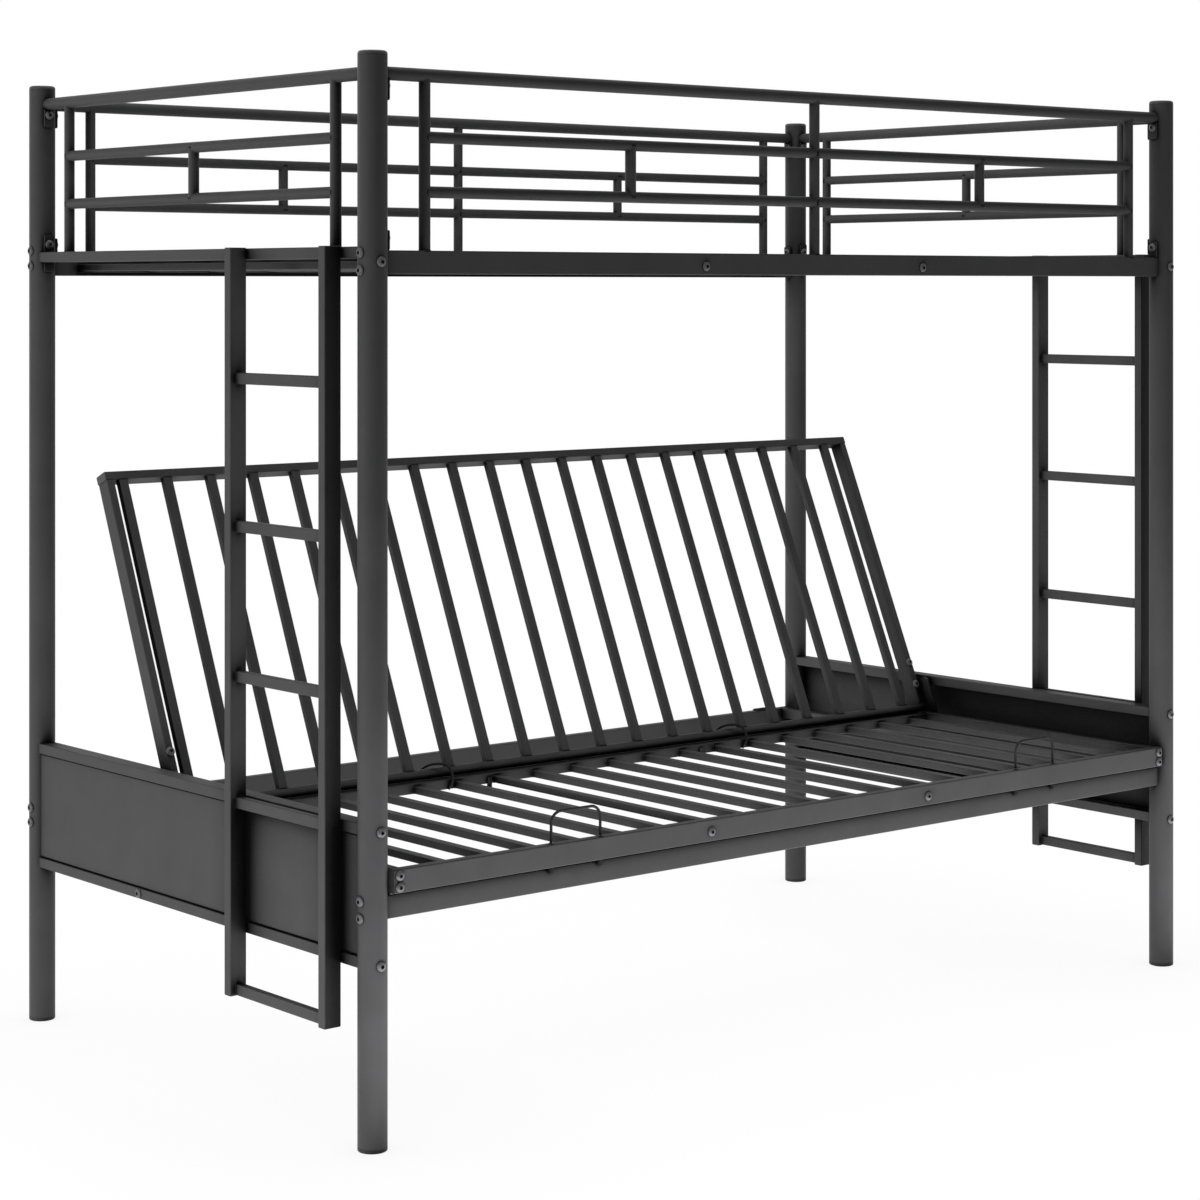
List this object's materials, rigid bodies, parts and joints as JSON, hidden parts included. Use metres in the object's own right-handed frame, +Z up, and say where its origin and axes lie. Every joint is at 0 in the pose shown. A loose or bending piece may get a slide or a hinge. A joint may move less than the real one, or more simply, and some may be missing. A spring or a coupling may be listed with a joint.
{
  "type": "futon bunk bed",
  "caption": "Metal bunk bed with guard rails and end ladders over a slatted futon whose seat slides forward and whose back folds flat.",
  "frame": {"origin": "on the floor, midway between the four posts", "axes": "X runs along the bed's length to the right as seen from the front, Y runs to the back, Z is up"},
  "size_m": [2.038, 1.1144, 1.74],
  "materials": {
    "powder_coat": "satin",
    "bolt_steel": "satin",
    "plug_plastic": "matte",
    "glide_nylon": "satin",
    "pad_rubber": "matte"
  },
  "bodies": {
    "frame": {"post_front_left": "powder_coat", "post_front_right": "powder_coat", "post_rear_left": "powder_coat", "post_rear_right": "powder_coat", "upper_side_rail_front": "powder_coat", "upper_side_rail_rear": "powder_coat", "lower_rail_front": "powder_coat", "lower_rail_rear": "powder_coat", "guard_front": "powder_coat", "guard_rear": "powder_coat", "guard_left": "powder_coat", "guard_right": "powder_coat", "upper_end_rail_left": "powder_coat", "upper_end_rail_right": "powder_coat", "panel_frame_left": "powder_coat", "panel_frame_right": "powder_coat", "panel_sheet_left": "powder_coat", "panel_sheet_right": "powder_coat", "ladder_left": "powder_coat", "ladder_right": "powder_coat", "ladder_plugs_left": "plug_plastic", "ladder_plugs_right": "plug_plastic", "seat_runner_left": "powder_coat", "seat_runner_right": "powder_coat", "post_caps": "plug_plastic", "post_feet": "plug_plastic", "deck_ledges": "powder_coat", "deck_slats": "powder_coat", "deck_tie_bars": "powder_coat", "front_glides": "glide_nylon", "rest_pads": "pad_rubber", "frame_bolts": "bolt_steel"},
    "seat": {"seat_front_rail": "powder_coat", "seat_side_rail_left": "powder_coat", "seat_side_rail_right": "powder_coat", "seat_rear_rail": "powder_coat", "seat_slats": "powder_coat", "seat_tie_bars": "powder_coat", "rear_glides": "glide_nylon", "mattress_hoops": "powder_coat", "tube_hooks": "powder_coat", "hinge_plate_left": "powder_coat", "hinge_plate_right": "powder_coat", "seat_bolts": "bolt_steel", "hinge_bolts": "bolt_steel", "seat_rail_plugs": "plug_plastic"},
    "back": {"back_side_bar_left": "powder_coat", "back_side_bar_right": "powder_coat", "hinge_lug_left": "powder_coat", "hinge_lug_right": "powder_coat", "back_top_rail": "powder_coat", "pivot_tube": "powder_coat", "back_bars": "powder_coat", "pivot_pins": "bolt_steel", "stop_pins": "bolt_steel", "lug_bolts": "bolt_steel", "back_rail_plugs": "plug_plastic"}
  },
  "joints": [
    {"name": "seat_slide", "type": "slide", "parent": "frame", "child": "seat", "axis": [0, -1, 0], "range_m": [0, 0.19]},
    {"name": "back_recline", "type": "hinge", "parent": "seat", "child": "back", "pos_m": [0, 0.1015, 0.45], "axis": [-1, 0, 0], "range_deg": [0, 68]}
  ]
}
